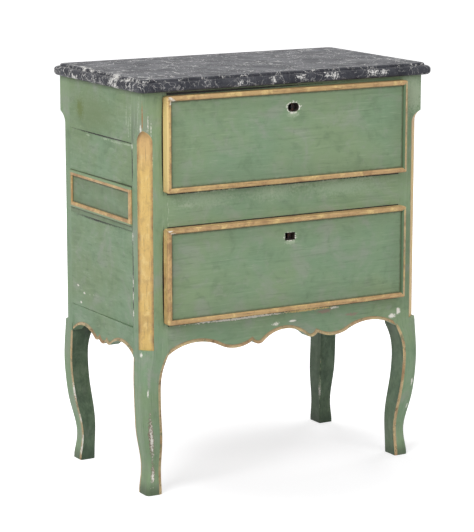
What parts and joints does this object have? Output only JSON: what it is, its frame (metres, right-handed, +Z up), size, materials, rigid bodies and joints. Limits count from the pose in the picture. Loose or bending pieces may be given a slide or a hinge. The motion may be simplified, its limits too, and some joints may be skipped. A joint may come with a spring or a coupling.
{
  "type": "nightstand",
  "caption": "Painted bedside chest on cabriole legs, with a moulded stone top, scalloped aprons and lockable drawers edged by gilt mouldings.",
  "frame": {"origin": "on the floor, under the centre of the stone top", "axes": "+Z up, -Y out of the drawer fronts, +X to the right of someone facing the drawers"},
  "size_m": [0.632, 0.362, 0.78],
  "materials": {
    "stone": "polished dark grey marble with white veins",
    "green_paint": "worn sage green paint on wood",
    "gilt": "worn ochre gilding on wood",
    "bare_wood": "old unpainted softwood",
    "lock_iron": "dark wrought iron",
    "bolt_iron": "rubbed iron"
  },
  "bodies": {
    "case": {"back_bottom_rail": "bare_wood", "back_left_post": "green_paint", "back_lower_board": "bare_wood", "back_middle_rail": "bare_wood", "back_right_post": "green_paint", "back_top_rail": "bare_wood", "back_upper_board": "bare_wood", "front_apron": "green_paint", "front_left_post": "green_paint", "front_middle_rail": "green_paint", "front_right_post": "green_paint", "front_top_rail": "green_paint", "left_apron": "green_paint", "left_frieze": "green_paint", "left_lower_panel": "green_paint", "left_middle_rail": "green_paint", "left_moulding_frame": "gilt", "left_upper_panel": "green_paint", "lower_left_kicker": "bare_wood", "lower_left_runner": "bare_wood", "lower_right_kicker": "bare_wood", "lower_right_runner": "bare_wood", "right_apron": "green_paint", "right_frieze": "green_paint", "right_lower_panel": "green_paint", "right_middle_rail": "green_paint", "right_moulding_frame": "gilt", "right_upper_panel": "green_paint", "top_slab": "stone", "upper_left_kicker": "bare_wood", "upper_left_runner": "bare_wood", "upper_right_kicker": "bare_wood", "upper_right_runner": "bare_wood"},
    "lower_drawer": {"lower_drawer_back": "bare_wood", "lower_drawer_border_bottom": "gilt", "lower_drawer_border_left": "gilt", "lower_drawer_border_right": "gilt", "lower_drawer_border_top": "gilt", "lower_drawer_bottom": "bare_wood", "lower_drawer_front": "green_paint", "lower_drawer_left_side": "bare_wood", "lower_drawer_right_side": "bare_wood", "lower_lock_case": "lock_iron"},
    "lower_bolt": {"lower_lock_bolt": "bolt_iron"},
    "upper_drawer": {"upper_drawer_back": "bare_wood", "upper_drawer_border_bottom": "gilt", "upper_drawer_border_left": "gilt", "upper_drawer_border_right": "gilt", "upper_drawer_border_top": "gilt", "upper_drawer_bottom": "bare_wood", "upper_drawer_front": "green_paint", "upper_drawer_left_side": "bare_wood", "upper_drawer_right_side": "bare_wood", "upper_lock_case": "lock_iron"},
    "upper_bolt": {"upper_lock_bolt": "bolt_iron"}
  },
  "joints": [
    {"name": "upper_drawer_slide", "type": "slide", "parent": "case", "child": "upper_drawer", "axis": [0, -1, 0], "range_m": [0, 0.24]},
    {"name": "upper_bolt_slide", "type": "slide", "parent": "upper_drawer", "child": "upper_bolt", "axis": [0, 0, 1], "range_m": [0, 0.008]},
    {"name": "lower_drawer_slide", "type": "slide", "parent": "case", "child": "lower_drawer", "axis": [0, -1, 0], "range_m": [0, 0.24]},
    {"name": "lower_bolt_slide", "type": "slide", "parent": "lower_drawer", "child": "lower_bolt", "axis": [0, 0, 1], "range_m": [0, 0.008]}
  ]
}
